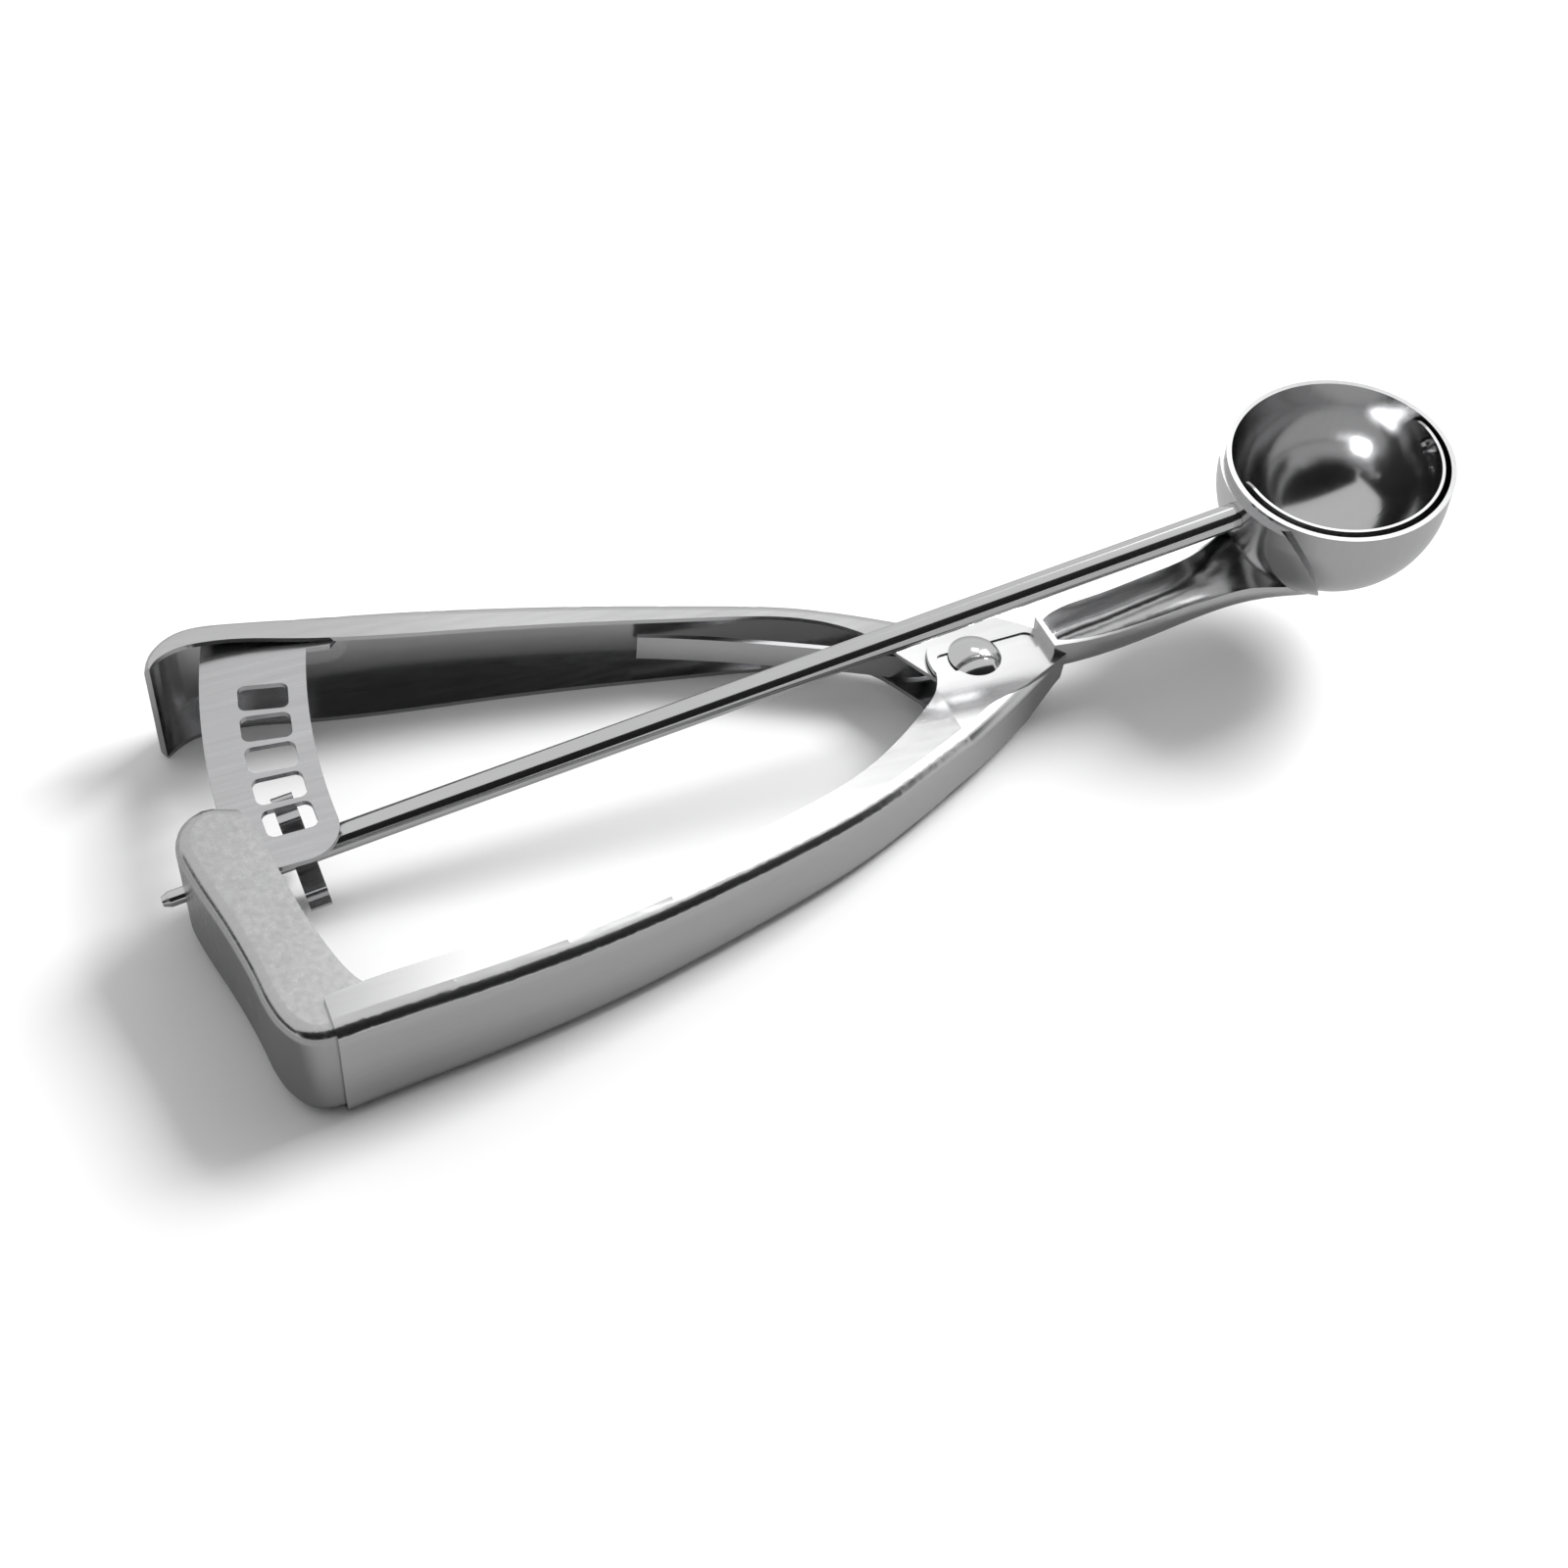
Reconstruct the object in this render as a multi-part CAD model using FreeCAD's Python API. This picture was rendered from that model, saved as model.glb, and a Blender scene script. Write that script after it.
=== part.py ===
# Squeeze-handle ice cream scoop, a small size, built in millimetres with +Z up.
import FreeCAD, Part
import os
from math import sin, cos, tan, pi, radians, hypot

V = FreeCAD.Vector

# Pressed sheet of the handles, and the outer radius of its bends
sheet = 0.9
lever_bend = 2.2
near_bend = 3.2
# Largest step between an outline and its arcs
arc_tolerance = 0.06
# Bowl
bowl_radius = 20.0
bowl_wall = 0.9
bowl_skirt = 5.2
# Bodies that move past each other
free_gap = 0.3
# A turning fit, on the radius
running_gap = 0.06
# A seat between pieces that stay together
seat_gap = 0.04
# Drive rod, above the pivot and tilted up towards the bowl
rod_diameter = 4.7
rod_tilt = 7.29
rod_above_pivot = 12.75
bowl_from_pivot = 69.86
peg_diameter = 2.6
peg_end = -142.6
spigot_diameter = 3.4
# Pivot plates
pivot_top = 14.0
ear_radius = 8.5
rivet_shank = 2.0
rivet_head = 4.75
rivet_head_height = 1.9
groove_width = 4.4
groove_depth = 0.35
# Rise of the handles' top faces from the pivot to the heel
rise_start = -10.0
heel_x = -126.0
heel_rise = 8.8
bottom_at_pivot = 3.2
# Rack plate and star pinion
rack_thickness = 1.0
rack_radius = 121.42
rack_width = 17.0
rack_offset = 1.5
slot_count = 5
slot_length = 8.0
slot_width = 5.4
slot_pitch_deg = 3.053
slot_first_deg = 0.1
pinion_teeth = 8
pinion_width = 3.5
tooth_above_rack = 1.2
tooth_root = 4.0
tooth_tip = 1.8
# Heel arm
arm_hole_gap = 0.08
# Wiper
wiper_thickness = 0.5
wiper_half_width = 5.4
# Return spring
spring_width = 5.4
spring_thickness = 0.9

# Sizes that follow from the ones above
rod_radius = rod_diameter / 2
bowl_inner = bowl_radius - bowl_wall
wiper_outer = bowl_inner - free_gap
wiper_inner = wiper_outer - wiper_thickness
lever_turn_per_rod_turn = slot_pitch_deg * pinion_teeth
turn_ratio = 360.0 / lever_turn_per_rod_turn
pitch_radius = rack_radius / turn_ratio
tooth_outer = pitch_radius + tooth_above_rack
hub_radius = pitch_radius - rack_thickness / 2 - 2.3
tilt_sin = sin(radians(rod_tilt))
tilt_cos = cos(radians(rod_tilt))
bowl_x = bowl_from_pivot * tilt_cos
bowl_z = pivot_top + rod_above_pivot + bowl_from_pivot * tilt_sin
pinion_x = -rack_radius + pitch_radius * tilt_sin
pinion_along = (pinion_x - bowl_x) / tilt_cos
rack_mid_z = bowl_z + pinion_along * tilt_sin + pitch_radius * tilt_cos
rack_low = rack_mid_z - rack_thickness / 2
rack_high = rack_mid_z + rack_thickness / 2
lever_top = pivot_top - sheet - free_gap
lever_bottom = bottom_at_pivot + sheet + free_gap
reach = heel_x - rise_start
near_slope = heel_rise / reach
lever_slope = (heel_rise + pivot_top - lever_top - 0.2) / reach


def top_of(x, at_pivot, slope):
    return at_pivot + slope * min(x - rise_start, 0.0)


# Helpers
def spline(points, z=0.0):
    curve = Part.BSplineCurve()
    curve.interpolate([V(p[0], p[1], z) for p in points])
    return curve.toShape()


def smooth(points):
    # The same curve as a chain of tangent arcs, which bends and meshes cleanly.
    curve = Part.BSplineCurve()
    curve.interpolate([V(p[0], p[1], 0) for p in points])
    return [arc.toShape() for arc in curve.toBiArcs(arc_tolerance)]


def line(a, b, z=0.0):
    return Part.makeLine(V(a[0], a[1], z), V(b[0], b[1], z))


def beside(points, distance):
    # Moves a row of plan points to the left of its direction.
    moved = []
    for i, p in enumerate(points):
        a = points[max(i - 1, 0)]
        b = points[min(i + 1, len(points) - 1)]
        size = hypot(b[0] - a[0], b[1] - a[1])
        nx = -(b[1] - a[1]) / size
        ny = (b[0] - a[0]) / size
        moved.append((p[0] + nx * distance, p[1] + ny * distance))
    return moved


def prism(edges, low, high):
    face = Part.Face(Part.Wire(Part.__sortEdges__(edges)))
    face.translate(V(0, 0, low))
    return face.extrude(V(0, 0, high - low))


def plan_polygon(points, low, high):
    edges = []
    for i, p in enumerate(points):
        edges.append(line(p, points[(i + 1) % len(points)]))
    return prism(edges, low, high)


def side_prism(points, half):
    # A side outline in x and z, made as deep as needed in y.
    corners = [V(p[0], -half, p[1]) for p in points]
    corners.append(corners[0])
    face = Part.Face(Part.makePolygon(corners))
    return face.extrude(V(0, 2 * half, 0))


def cylinder(radius, start, end):
    axis = end.sub(start)
    return Part.makeCylinder(radius, axis.Length, start, axis)


def union(shapes):
    whole = shapes[0].fuse(shapes[1:])
    return whole.removeSplitter()


def on_rod(shape):
    # Takes a shape from the bowl's frame, with x along the rod, to the scoop's frame.
    placed = shape.copy()
    placed.rotate(V(0, 0, 0), V(0, 1, 0), -rod_tilt)
    placed.translate(V(bowl_x, 0, bowl_z))
    return placed


def round_along(shape, curve, radius):
    # Rounds the edges that follow a plan curve.
    chosen = []
    for edge in shape.Edges:
        first = edge.Vertexes[0].Point
        last = edge.Vertexes[-1].Point
        if hypot(last.x - first.x, last.y - first.y) < 0.2:
            continue
        near = True
        for part in (0.2, 0.5, 0.8):
            at = edge.FirstParameter + part * (edge.LastParameter - edge.FirstParameter)
            p = edge.valueAt(at)
            if curve.distToShape(Part.Vertex(V(p.x, p.y, 0)))[0] > 0.02:
                near = False
        if near:
            chosen.append(edge)
    return shape.makeFillet(radius, chosen)


# Plan outlines: the outer web of each handle and the inner edge of its flanges
near_web = [(-126, -42.2), (-110.5, -41.0), (-87, -38.8), (-70, -36.0), (-51, -31.9),
            (-31, -26.4), (-13, -19.2), (-1, -13.8), (8, -9.0), (16, -4.9)]
near_edge = [(-126, -35.0), (-118.8, -33.9), (-108, -33.1), (-84, -31.0), (-66.7, -28.0),
             (-47.7, -23.6), (-26.2, -16.2), (-16.7, -10.3), (-9.5, -4.0), (-8.2, -1.0)]
lever_web = [(-135.2, 35.8), (-133.2, 39.8), (-128.4, 42.8), (-120.6, 42.8), (-108, 40.8),
             (-93, 38.4), (-77, 35.3), (-60, 31.5), (-40, 26.4), (-26, 22.3), (-17, 18.4),
             (-6, 12.5)]
lever_edge = [(-134.2, 35.2), (-130.6, 37.6), (-126.2, 38.4), (-110.7, 35.6), (-91.4, 31.9),
              (-61.5, 26.7), (-44.6, 23.2), (-22.9, 17.0), (-17.0, 12.9), (-12.3, 6.0)]
arm_web = [(-131.6, 5.2), (-136.0, 4.4), (-138.5, 1.4), (-138.9, -5.1), (-137.0, -14.5),
           (-134.6, -29.3), (-132.9, -37.0), (-129.6, -40.6), (-124.0, -41.0),
           (-110.5, -39.96)]
arm_edge = [(-129.2, 4.4), (-127.4, 0.5), (-126.0, -7.8), (-124.2, -20.3), (-122.6, -27.0),
            (-119.2, -34.4), (-110.5, -35.4)]


def under(low, ends, lift):
    # What is left out below a handle where its underside sweeps up to the pivot.
    return side_prism([(-31, lift), (-12, low + lift), (ends[0], low + lift),
                       (ends[1], low + ends[2] + lift), (ends[1] + 5, low + ends[2] + lift),
                       (ends[1] + 5, -20), (-31, -20)], 80)


def handle_shell(web, edge, top, slope, low, side, ends):
    # A pressed channel: web outside, flanges above and below, open towards the rod.
    web_arcs = smooth(web) if side > 0 else [spline(web)]
    outline = web_arcs + [line(web[-1], edge[-1])] + smooth(edge) + [line(edge[0], web[0])]
    solid = prism(outline, -5, 60)
    heel_top = top + slope * (-150 - rise_start)
    cut = side_prism([(-150, 0), (ends[1], 0), (ends[1], top), (rise_start, top),
                      (-150, heel_top)], 80)
    bend = near_bend if side > 0 else lever_bend
    solid = round_along(solid.common(cut), Part.Compound(web_arcs), bend)
    return solid.cut(under(low, ends, 0.0))


def hollow(web, top, slope, low, side, ends, far):
    inner = beside(web, side * sheet)
    inner_arcs = smooth(inner)
    edges = list(inner_arcs)
    corners = [inner[-1]] + far + [inner[0]]
    for i in range(len(corners) - 1):
        edges.append(line(corners[i], corners[i + 1]))
    solid = prism(edges, -5, 60)
    heel_top = top - sheet + slope * (-150 - rise_start)
    cut = side_prism([(-150, sheet), (ends[1], sheet), (ends[1], top - sheet),
                      (rise_start, top - sheet), (-150, heel_top)], 80)
    solid = solid.common(cut)
    if side > 0:
        solid = round_along(solid, Part.Compound(inner_arcs), near_bend - sheet)
    return solid.cut(under(low, ends, sheet))


def trough():
    # The neck: an open channel under the rod, closed at its pivot end.
    stations = [(-58.0, -4.4, 3.0), (-55.0, -5.2, 3.7), (-46, -6.6, 3.9), (-36, -6.8, 4.0),
                (-26, -6.8, 4.4), (-20.5, -7.4, 5.6), (-13, -9.6, 8.6), (-6, -11.5, 11.0)]
    rim = -12.0
    shells = []
    for inset, lift in ((0.0, 0.0), (sheet, 3.0)):
        wires = []
        for x, front, back in stations:
            low = -20.6 + 0.045 * (x + 57.5) + inset
            f = front + inset
            b = back - inset
            x_in = x + inset if x < -57 else x
            points = [V(x_in, f, rim + lift), V(x_in, f, -15.0), V(x_in, f * 0.72, low + 1.1),
                      V(x_in, (f + b) / 2, low), V(x_in, b * 0.72, low + 1.1),
                      V(x_in, b, -15.0), V(x_in, b, rim + lift)]
            curve = Part.BSplineCurve()
            curve.interpolate(points)
            wires.append(Part.Wire([curve.toShape(), Part.makeLine(points[-1], points[0])]))
        shells.append(Part.makeLoft(wires, True))
    neck = shells[0].cut(shells[1])
    return neck.cut(Part.makeSphere(bowl_radius + sheet / 2))


def bowl_form(radius, height):
    # A half sphere with a straight skirt above it.
    ball = Part.makeSphere(radius)
    ball = ball.common(Part.makeBox(80, 80, 40, V(-40, -40, -40)))
    return ball.fuse(Part.makeCylinder(radius, height)).removeSplitter()


def cradle():
    # The saddle that holds the bowl, cut from a shell over the bowl's neck side.
    shell = bowl_form(bowl_radius + sheet, 4.0).cut(bowl_form(bowl_radius, 4.0))
    keep = Part.Face(Part.makePolygon([V(-40, -40, 6), V(-19.05, -40, 6), V(-7.4, -40, -17),
                                       V(-12, -40, -19.5), V(-40, -40, -19.5), V(-40, -40, 6)]))
    keep = keep.extrude(V(0, 80, 0))
    wing_cut = Part.makeCylinder(17.6, 60, V(-33.5, 0, -14.5), V(1, 0, 0.001))
    body = shell.common(keep)
    sides = Part.makeBox(60, 31.0, 60, V(-50, -15.5, -30))
    body = body.common(sides)
    top_round = wing_cut.fuse(Part.makeBox(60, 60, 11, V(-50, -30, -30)))
    return body.common(top_round.fuse(Part.makeBox(60, 60, 12, V(-50, -30, -8.5))))


def fixed_handle():
    ends = (8.0, 16.0, 4.4)
    shell = handle_shell(near_web, near_edge, pivot_top, near_slope, bottom_at_pivot, 1, ends)
    ear = Part.makeCylinder(ear_radius, pivot_top - bottom_at_pivot, V(0, 0, bottom_at_pivot))
    nose = plan_polygon([(-8.2, -1.0), (0, 8.3), (7.8, 7.1), (11.3, 4.3), (13.9, 1.7),
                         (16, -0.4), (16, -5.0), (6, -9), (-6, -12)],
                        bottom_at_pivot, pivot_top)
    lift = side_prism([(-20, bottom_at_pivot), (8, bottom_at_pivot),
                       (16, bottom_at_pivot + 4.4), (16, 30), (-20, 30)], 40)
    shell = union([shell, ear, nose.common(lift)])
    inside = hollow(near_web, pivot_top, near_slope, bottom_at_pivot, 1, ends,
                    [(16, 60), (-126, 60)])
    shell = shell.cut(inside)
    whole = union([shell, on_rod(union([trough(), cradle()]))])
    groove_low = pivot_top - groove_depth
    groove = Part.makeBox(16, groove_width, 2, V(-5.6, -groove_width / 2, groove_low))
    for x in (-5.6, 10.4):
        groove = groove.fuse(Part.makeCylinder(groove_width / 2, 2, V(x, 0, groove_low)))
    whole = whole.cut(groove)
    whole = whole.cut(Part.makeCylinder(rivet_shank, 30, V(0, 0, 0)))
    passage = Part.makeCylinder(rod_radius + running_gap, 60, V(-70, 0, 0), V(1, 0, 0))
    whole = whole.cut(on_rod(passage))
    return whole


def lever_handle():
    ends = (0.0, 5.0, 0.0)
    shell = handle_shell(lever_web, lever_edge, lever_top, lever_slope, lever_bottom, -1, ends)
    ear = Part.makeCylinder(ear_radius - 0.4, lever_top - lever_bottom, V(0, 0, lever_bottom))
    link = plan_polygon([(-12.3, 6.0), (-8.6, -1.2), (-6, -5.5), (0, -6), (7, 0), (4.5, 6.6),
                         (-6, 12.5), (-10, 12.5)], lever_bottom, lever_top)
    shell = union([shell, ear, link])
    inside = hollow(lever_web, lever_top, lever_slope, lever_bottom, -1, (0.0, 40.0, 0.0),
                    [(30, 10), (60, -60), (-100, -60)])
    shell = shell.cut(inside)
    return shell.cut(Part.makeCylinder(rivet_shank + running_gap, 30, V(0, 0, 0)))


def heel_arm():
    web_arcs = smooth(arm_web)
    outline = web_arcs + [line(arm_web[-1], arm_edge[-1])] + smooth(arm_edge)
    outline.append(line(arm_edge[0], arm_web[0]))
    low = sheet
    top_a = pivot_top - sheet + near_slope * (-150 - rise_start)
    top_b = pivot_top - sheet + near_slope * (-100 - rise_start)
    solid = prism(outline, -5, 60)
    solid = solid.common(side_prism([(-150, low), (-100, low), (-100, top_b), (-150, top_a)], 80))
    solid = round_along(solid, Part.Compound(web_arcs), near_bend - sheet)
    inner = beside(arm_web, sheet)
    edges = smooth(inner) + [line(inner[-1], (-100, -38)), line((-100, -38), (-100, 40)),
                             line((-100, 40), (-131, 40)), line((-131, 40), inner[0])]
    space = prism(edges, -5, 60)
    cut = side_prism([(-150, low + sheet), (-90, low + sheet), (-90, top_b - sheet + 0.0),
                      (-100, top_b - sheet), (-150, top_a - sheet)], 80)
    shell = solid.cut(space.common(cut))
    hole = Part.makeCylinder(peg_diameter / 2 + arm_hole_gap, 30, V(-215, 0, 0), V(1, 0, 0))
    return shell.cut(on_rod(hole))


def bowl():
    outer = bowl_form(bowl_radius, bowl_skirt)
    inner = bowl_form(bowl_inner, bowl_skirt + 5)
    cup = outer.cut(inner)
    neck = Part.makeCylinder(spigot_diameter / 2 + running_gap, 10, V(-24, 0, 0), V(1, 0, 0))
    tip = Part.makeCylinder(1.0, 10, V(15, 0, 0), V(1, 0, 0))
    return cup.cut(neck).cut(tip)


def tip_pin():
    shank = cylinder(1.0, V(wiper_inner - 0.5, 0, 0), V(bowl_radius + 0.5, 0, 0))
    head = Part.makeSphere(2.4, V(bowl_radius - 0.9, 0, 0))
    head = head.common(Part.makeCylinder(1.7, 5, V(bowl_radius - 0.5, 0, 0), V(1, 0, 0)))
    head = head.cut(Part.makeSphere(bowl_radius))
    end = Part.makeCone(1.0, 1.5, 0.6, V(wiper_inner - 0.35, 0, 0), V(-1, 0, 0))
    return union([shank, head, end])


def pivot_rivet():
    dome_radius = (rivet_head ** 2 + rivet_head_height ** 2) / (2 * rivet_head_height)
    dome = Part.makeSphere(dome_radius, V(0, 0, pivot_top + rivet_head_height - dome_radius))
    dome = dome.common(Part.makeBox(20, 20, 5, V(-10, -10, pivot_top)))
    shank = Part.makeCylinder(rivet_shank, pivot_top - bottom_at_pivot + 1.0,
                              V(0, 0, bottom_at_pivot - 0.5))
    foot = Part.makeCone(2.6, 3.4, 1.0, V(0, 0, bottom_at_pivot - 1.0))
    return union([dome, shank, foot])


def strip(points, thickness, low, high):
    other = beside(points, thickness)
    edges = [spline(points), line(points[-1], other[-1]), spline(other), line(other[0], points[0])]
    return prism(edges, low, high)


def return_spring():
    # A flat hairpin: both legs press the handles apart.
    mid = (lever_bottom + sheet + lever_top - sheet) / 2
    low = mid - spring_width / 2
    path = [(-53.0, 26.6), (-44.0, 23.0), (-30.0, 16.6), (-16.0, 9.6), (-6.0, 5.6), (0.6, 4.9),
            (4.6, 2.0), (5.0, -2.0), (2.0, -5.0), (-4.0, -7.0), (-14.0, -12.5), (-26.0, -19.0),
            (-38.0, -25.0), (-46.0, -28.6)]
    return strip(path, -spring_thickness, low, low + spring_width)


def rack_plate():
    inner = rack_radius + rack_offset - rack_width / 2
    outer = inner + rack_width
    ring = Part.makeCylinder(outer, rack_thickness, V(0, 0, rack_low))
    ring = ring.cut(Part.makeCylinder(inner, rack_thickness, V(0, 0, rack_low)))
    # The web that carries the plate runs straight here
    a = (-93.0, 38.4)
    b = (-120.6, 42.8)
    size = hypot(b[0] - a[0], b[1] - a[1])
    ux = (b[0] - a[0]) / size
    uy = (b[1] - a[1]) / size
    nx = uy
    ny = -ux
    if ny > 0:
        nx = -nx
        ny = -ny

    def at(along, depth):
        return (a[0] + ux * along + nx * depth, a[1] + uy * along + ny * depth)

    face_depth = sheet + seat_gap
    bend = 2.0
    start = face_depth + bend
    low_y = -8.4
    window = plan_polygon([at(60, start), at(0, start), (-100, low_y), (-140, low_y)],
                          rack_low, rack_high)
    plate = ring.common(window)
    corner = [e for e in plate.Edges
              if abs(e.Vertexes[0].Point.z - e.Vertexes[-1].Point.z) > 0.5
              and e.Vertexes[0].Point.y < low_y + 1.5]
    plate = plate.makeFillet(6.5, corner)
    tab_from = 8.5
    tab_to = 31.0
    tab_height = 9.5
    tab = plan_polygon([at(tab_from, face_depth), at(tab_to, face_depth),
                        at(tab_to, face_depth + rack_thickness),
                        at(tab_from, face_depth + rack_thickness)],
                       rack_high - tab_height, rack_high - bend)
    ends = [e for e in tab.Edges
            if e.Vertexes[0].Point.z < rack_high - tab_height + 0.1
            and e.Vertexes[-1].Point.z < rack_high - tab_height + 0.1
            and abs(e.Length - rack_thickness) < 0.05]
    tab = tab.makeFillet(4.0, ends)
    centre_low = at(tab_from, start)
    centre_high = at(tab_to, start)
    p = V(centre_low[0], centre_low[1], rack_high - bend)
    axis = V(centre_high[0] - centre_low[0], centre_high[1] - centre_low[1], 0)
    knee = Part.makeCylinder(bend, tab_to - tab_from, p, axis)
    knee = knee.cut(Part.makeCylinder(bend - rack_thickness, tab_to - tab_from, p, axis))
    quarter = plan_polygon([at(tab_from, face_depth - 1), at(tab_to, face_depth - 1),
                            at(tab_to, start), at(tab_from, start)],
                           rack_high - bend, rack_high + 1)
    knee = knee.common(quarter)
    flare = plan_polygon([at(tab_from, start), at(tab_to, start), at(tab_to - 3, start + 4),
                          at(tab_from + 3, start + 4)], rack_low, rack_high)
    plate = union([plate, flare, knee, tab])
    for i in range(slot_count):
        slot = Part.makeBox(slot_length, slot_width, 4,
                            V(-rack_radius - slot_length / 2, -slot_width / 2, rack_low - 1))
        upright = [e for e in slot.Edges if abs(e.Length - 4) < 0.01]
        slot = slot.makeFillet(1.3, upright)
        slot.rotate(V(0, 0, 0), V(0, 0, 1), -(slot_first_deg + i * slot_pitch_deg))
        plate = plate.cut(slot)
    weld_at = at(22.0, 0)
    weld_from = V(*at(22.0, sheet - 0.1), rack_high - 6.0)
    weld = Part.makeCylinder(1.6, seat_gap + 0.3, weld_from, V(nx, ny, 0))
    return union([plate, weld])


def drive_rod():
    shoulder_in = -bowl_radius - free_gap
    tail_shoulder = (-136.2 - bowl_x) / tilt_cos
    tail_end = (peg_end - bowl_x) / tilt_cos
    main = cylinder(rod_radius, V(tail_shoulder, 0, 0), V(shoulder_in, 0, 0))
    spigot = cylinder(spigot_diameter / 2, V(shoulder_in, 0, 0), V(-wiper_inner + 0.6, 0, 0))
    spigot = spigot.makeChamfer(0.4, [spigot.Edges[0]])
    peg = cylinder(peg_diameter / 2, V(tail_end + 1.2, 0, 0), V(tail_shoulder, 0, 0))
    tip = Part.makeCone(peg_diameter / 2, peg_diameter / 2 - 0.5, 1.2, V(tail_end + 1.2, 0, 0),
                        V(-1, 0, 0))
    return on_rod(union([main, spigot, peg, tip]))


def pinion():
    star = Part.makeCylinder(hub_radius, pinion_width, V(-pinion_width / 2, 0, 0), V(1, 0, 0))
    teeth = []
    for i in range(pinion_teeth):
        half_root = tooth_root / 2
        half_tip = tooth_tip / 2
        flat = [V(-pinion_width / 2, -half_root, hub_radius - 1.5),
                V(-pinion_width / 2, -half_tip, tooth_outer),
                V(-pinion_width / 2, half_tip, tooth_outer),
                V(-pinion_width / 2, half_root, hub_radius - 1.5)]
        tooth = Part.Face(Part.makePolygon(flat + [flat[0]])).extrude(V(pinion_width, 0, 0))
        tips = [e for e in tooth.Edges
                if abs(e.Length - pinion_width) < 0.01 and e.Vertexes[0].Point.z > tooth_outer - 0.1]
        tooth = tooth.makeFillet(0.7, tips)
        tooth.rotate(V(0, 0, 0), V(1, 0, 0), i * 360.0 / pinion_teeth)
        teeth.append(tooth)
    star = union([star] + teeth)
    star = star.cut(Part.makeCylinder(rod_radius, 20, V(-10, 0, 0), V(1, 0, 0)))
    star.rotate(V(0, 0, 0), V(1, 0, 0), -slot_first_deg * turn_ratio)
    star.translate(V(pinion_along, 0, 0))
    return on_rod(star)


def wiper_blade():
    shell = Part.makeSphere(wiper_outer).cut(Part.makeSphere(wiper_inner))
    band = Part.makeBox(60, 30, 2 * wiper_half_width, V(-30, -30, -wiper_half_width))
    discs = Part.makeCylinder(wiper_half_width, 60, V(-30, 0, 0), V(1, 0, 0))
    blade = shell.common(band.fuse(discs))
    blade = blade.cut(Part.makeCylinder(spigot_diameter / 2, 10, V(-24, 0, 0), V(1, 0, 0)))
    return blade.cut(Part.makeCylinder(1.0 + running_gap, 10, V(15, 0, 0), V(1, 0, 0)))


def build():
    return {
        "fixed_handle": fixed_handle(),
        "lever_handle": lever_handle(),
        "heel_arm": heel_arm(),
        "bowl": on_rod(bowl()),
        "tip_pin": on_rod(tip_pin()),
        "pivot_rivet": pivot_rivet(),
        "return_spring": return_spring(),
        "rack_plate": rack_plate(),
        "drive_rod": drive_rod(),
        "pinion": pinion(),
        "wiper_blade": on_rod(wiper_blade()),
    }


nodes = build()
box = FreeCAD.BoundBox()
for shape in nodes.values():
    box.add(shape.optimalBoundingBox(False))
centre = V(-(box.XMin + box.XMax) / 2, -(box.YMin + box.YMax) / 2, -box.ZMin)
os.makedirs("parts", exist_ok=True)
for name, shape in nodes.items():
    shape.translate(centre)
    shape.exportStep("parts/" + name + ".step")
    print(name, shape.isValid(), len(shape.Solids), round(shape.Volume, 1))
print("frame moved by", centre, "pitch radius", round(pitch_radius, 3), "ratio", turn_ratio)
print("size", box.XLength, box.YLength, box.ZLength)
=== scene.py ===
import math

import bpy
from mathutils import Matrix, Vector


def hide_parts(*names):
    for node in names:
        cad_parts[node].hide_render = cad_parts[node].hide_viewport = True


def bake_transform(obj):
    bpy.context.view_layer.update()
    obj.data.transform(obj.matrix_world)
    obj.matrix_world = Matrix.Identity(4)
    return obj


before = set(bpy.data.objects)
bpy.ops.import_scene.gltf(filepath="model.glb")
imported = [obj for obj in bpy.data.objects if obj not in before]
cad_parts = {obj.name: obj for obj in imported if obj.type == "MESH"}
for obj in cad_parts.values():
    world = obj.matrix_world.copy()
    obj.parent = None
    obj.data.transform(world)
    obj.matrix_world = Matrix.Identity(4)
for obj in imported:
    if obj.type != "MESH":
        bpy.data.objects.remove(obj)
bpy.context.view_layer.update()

# Lengths are in metres, angles in degrees and lamp powers in watts.


# Shader graphs: sums on a Value add Math nodes, and Graph.add makes every other node
class Value:
    def __init__(self, graph, socket):
        self.graph = graph
        self.socket = socket

    def sum(self, operation, first, second):
        return self.graph.add("ShaderNodeMath", 0, {"operation": operation}, {0: first, 1: second})

    def __add__(self, other):
        return self.sum("ADD", self, other)

    def __radd__(self, other):
        return self.sum("ADD", other, self)

    def __sub__(self, other):
        return self.sum("SUBTRACT", self, other)

    def __rsub__(self, other):
        return self.sum("SUBTRACT", other, self)

    def __mul__(self, other):
        return self.sum("MULTIPLY", self, other)

    def __rmul__(self, other):
        return self.sum("MULTIPLY", other, self)


class Graph:
    def __init__(self, owner):
        owner.use_nodes = True
        self.nodes = owner.node_tree.nodes
        self.links = owner.node_tree.links
        self.nodes.clear()

    def add(self, kind, output=None, settings=None, sockets=None):
        """Add a node, with its settings first and then its sockets, and give back one output."""
        node = self.nodes.new(kind)
        for name, value in (settings or {}).items():
            setattr(node, name, value)
        for name, value in (sockets or {}).items():
            if isinstance(value, Value):
                self.links.new(value.socket, node.inputs[name])
            else:
                node.inputs[name].default_value = value
        if output is None:
            return None
        return Value(self, node.outputs[output])

    def noise(self, stretch, sockets):
        place = self.add("ShaderNodeTexCoord", "Object")
        stretched = self.add("ShaderNodeMapping", 0, sockets={"Vector": place, "Scale": stretch})
        return self.add("ShaderNodeTexNoise", "Fac", sockets={"Vector": stretched, **sockets})


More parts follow.
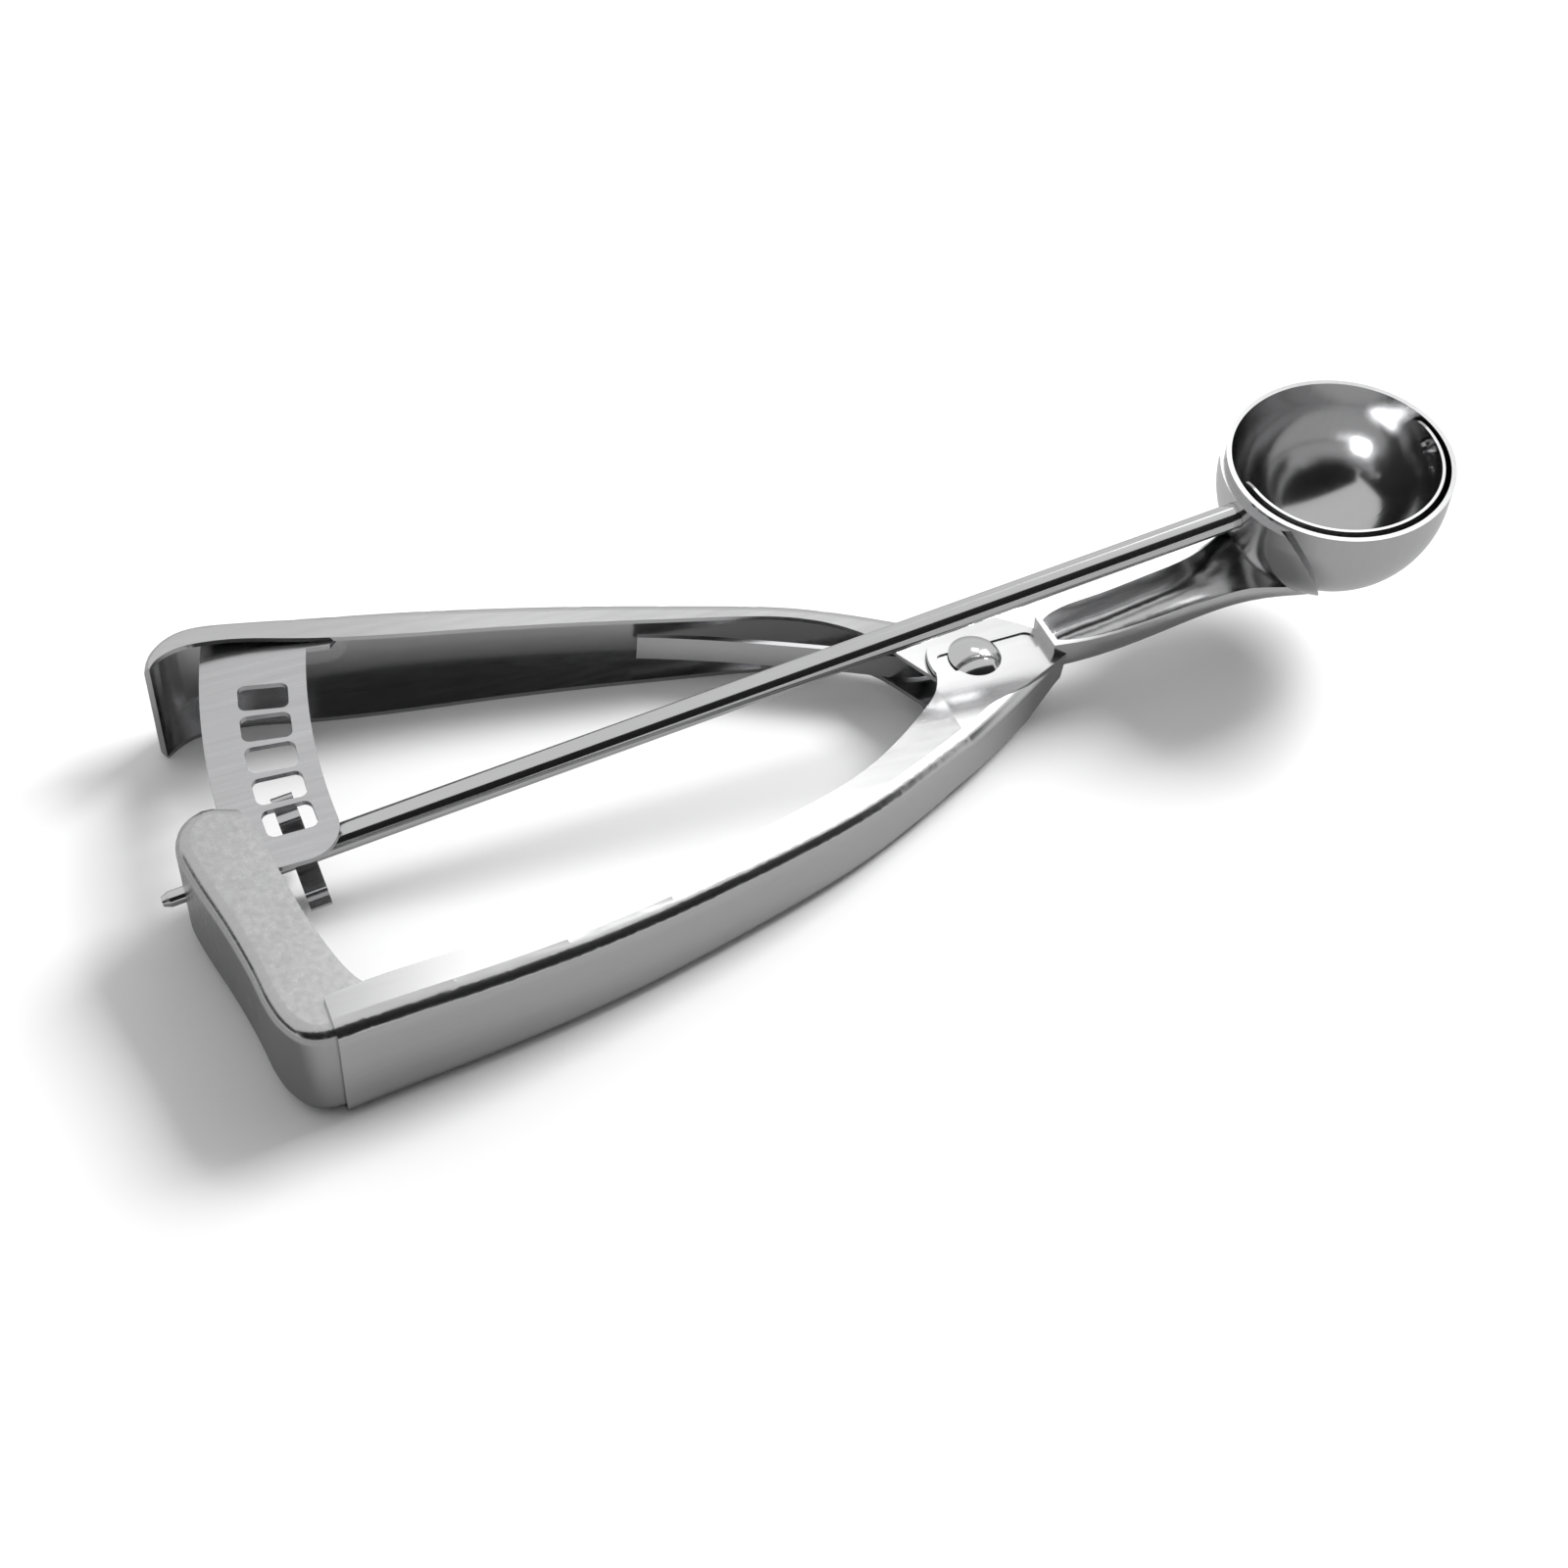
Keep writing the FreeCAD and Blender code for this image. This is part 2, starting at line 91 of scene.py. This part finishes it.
# Materials
# How much the steel's roughness drifts from place to place
cloud_drift = 0.10
# Share of the brushing that also shows in the colour
streak_in_colour = 0.9
brushing_depth = 0.00002
least_brushing = 0.10
# How many brush lines to the metre, along x, y and z
along_x = (40.0, 900.0, 900.0)
along_rod = (30.0, 1200.0, 1200.0)
along_z = (900.0, 900.0, 60.0)


def steel(name, colour, rough, streak, grain=0.0, stretch=along_x):
    """Bare steel: a little uneven, with fine brushing along one direction."""
    material = bpy.data.materials.new(name)
    graph = Graph(material)
    cloud = graph.noise((1, 1, 1), {"Scale": 26.0, "Detail": 3.0})
    lines = graph.noise(stretch, {"Scale": 1.0, "Detail": 4.0, "Roughness": 0.6})
    roughness = (cloud - 0.5) * cloud_drift + (lines - 0.5) * streak + rough
    shade = (lines - 0.5) * (streak * streak_in_colour) + 1.0
    tint = graph.add("ShaderNodeVectorMath", 0, {"operation": "SCALE"},
                     {"Vector": colour, "Scale": shade})
    bump = graph.add("ShaderNodeBump", 0, sockets={
        "Strength": least_brushing + grain, "Distance": brushing_depth, "Height": lines})
    surface = graph.add("ShaderNodeBsdfPrincipled", 0, sockets={
        "Base Color": tint, "Metallic": 1.0, "Roughness": roughness, "Normal": bump})
    graph.add("ShaderNodeOutputMaterial", sockets={"Surface": surface})
    return material


def matt(name, seen, reflected):
    """A matt grey with one level for the camera and another for everything else."""
    material = bpy.data.materials.new(name)
    graph = Graph(material)
    eye = graph.add("ShaderNodeLightPath", "Is Camera Ray")
    level = eye * (seen - reflected) + reflected
    colour = graph.add("ShaderNodeCombineColor", 0, sockets={
        "Red": level, "Green": level, "Blue": level})
    surface = graph.add("ShaderNodeBsdfPrincipled", 0, sockets={
        "Base Color": colour, "Roughness": 0.9, "Specular IOR Level": 0.0})
    graph.add("ShaderNodeOutputMaterial", sockets={"Surface": surface})
    return material


polished = steel("polished steel", (0.64, 0.64, 0.645), 0.19, 0.12)
rod_steel = steel("bright rod steel", (0.68, 0.68, 0.685), 0.12, 0.06, stretch=along_rod)
bowl_steel = steel("bowl steel", (0.58, 0.58, 0.585), 0.14, 0.07, stretch=along_z)
brushed = steel("brushed steel", (0.60, 0.60, 0.61), 0.24, 0.20, 0.15)
# The heel arm's colour is set darker than the other steel as painted shade; its stronger brushing
# along z is its own finish.
arm_steel_painted_shade = steel("heel arm steel with painted shade", (0.56, 0.56, 0.565), 0.24, 0.24, 0.15, stretch=along_z)
spring_steel = steel("spring steel", (0.60, 0.60, 0.61), 0.22, 0.14)

finish_of = {
    "fixed_handle": polished,
    "lever_handle": polished,
    "heel_arm": arm_steel_painted_shade,
    "bowl": bowl_steel,
    "tip_pin": rod_steel,
    "pivot_rivet": rod_steel,
    "return_spring": spring_steel,
    "rack_plate": brushed,
    "drive_rod": rod_steel,
    "pinion": brushed,
    "wiper_blade": bowl_steel,
}
for name, material in finish_of.items():
    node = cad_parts[name]
    node.data.materials.clear()
    node.data.materials.append(material)


# The return spring, as a strip: a copy of its mesh with doubled points merged and smooth shading,
# in place of the hidden original
merge_distance = 0.000002
crease = 35

strip = bpy.data.objects.new("spring_strip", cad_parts["return_spring"].data.copy())
bpy.context.scene.collection.objects.link(strip)
bpy.ops.object.select_all(action="DESELECT")
strip.select_set(True)
bpy.context.view_layer.objects.active = strip
bpy.ops.object.mode_set(mode="EDIT")
bpy.ops.mesh.select_all(action="SELECT")
bpy.ops.mesh.remove_doubles(threshold=merge_distance)
bpy.ops.object.mode_set(mode="OBJECT")
bpy.ops.object.shade_smooth_by_angle(angle=math.radians(crease))
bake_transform(strip)
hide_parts("return_spring")


# White paper under the scoop, and the dark cards that the steel reflects
def card(name, centre, size, facing, material):
    bpy.ops.mesh.primitive_plane_add(size=1.0)
    sheet = bpy.context.object
    sheet.name = name
    turn = Vector(facing).to_track_quat("Z", "Y").to_matrix().to_4x4()
    scale = Matrix.Diagonal((size[0], size[1], 1.0, 1.0))
    sheet.data.transform(Matrix.Translation(Vector(centre)) @ turn @ scale)
    sheet.data.materials.append(material)


white_paper = matt("white paper", 0.98, 0.45)
dark_card = matt("dark card", 0.02, 0.02)
card("floor", (0, 0, -0.00005), (8.0, 8.0), (0, 0, 1), white_paper)
card("front dark card", (0.0, -0.78, 0.62), (3.2, 1.10), (0, 1, -0.6), dark_card)
card("left dark card", (-0.95, 0.1, 0.35), (0.9, 0.35), (1, 0, -0.2), dark_card)

# Surroundings: white behind the scoop, and a little less in what the steel reflects
seen_light = 1.0
reflected_light = 0.74

world = bpy.data.worlds.new("surroundings")
bpy.context.scene.world = world
graph = Graph(world)
eye = graph.add("ShaderNodeLightPath", "Is Camera Ray")
sky = graph.add("ShaderNodeBackground", 0, sockets={
    "Color": (1, 1, 1, 1), "Strength": eye * (seen_light - reflected_light) + reflected_light})
graph.add("ShaderNodeOutputWorld", sockets={"Surface": sky})


def lamp(name, place, size, power):
    """A rectangular lamp that points at the middle of the scoop."""
    data = bpy.data.lights.new(name, "AREA")
    data.shape = "RECTANGLE"
    data.size, data.size_y = size
    data.energy = power
    holder = bpy.data.objects.new(name, data)
    bpy.context.scene.collection.objects.link(holder)
    holder.location = place
    aim = Vector((0, 0, 0.01)) - Vector(place)
    holder.rotation_euler = aim.to_track_quat("-Z", "Y").to_euler()


lamp("main lamp", (1.05, 0.30, 1.15), (0.60, 0.60), 24.0)
lamp("far lamp", (0.53, 0.75, 1.20), (0.42, 0.36), 0.66)

# Camera, fitted to the photograph. Its focal length was found in the photograph's pixels.
photo_width = 1600.0
focal_pixels = 2105.45
sensor_width = 36.0

rightward = Vector((0.9090, -0.4065, 0.0916)).normalized()
ahead = Vector((0.3235, 0.5500, -0.7700)).normalized()
up = rightward.cross(ahead).normalized()
right = ahead.cross(up).normalized()
stand = Matrix((right, up, -ahead)).transposed().to_4x4()
stand.translation = Vector((-0.12767, -0.20281, 0.27590))
lens = bpy.data.cameras.new("camera")
lens.sensor_width = sensor_width
lens.lens = focal_pixels / photo_width * sensor_width
lens.clip_start = 0.01
camera = bpy.data.objects.new("camera", lens)
camera.matrix_world = stand
bpy.context.scene.collection.objects.link(camera)
bpy.context.scene.camera = camera
bpy.context.scene.view_settings.view_transform = "Standard"
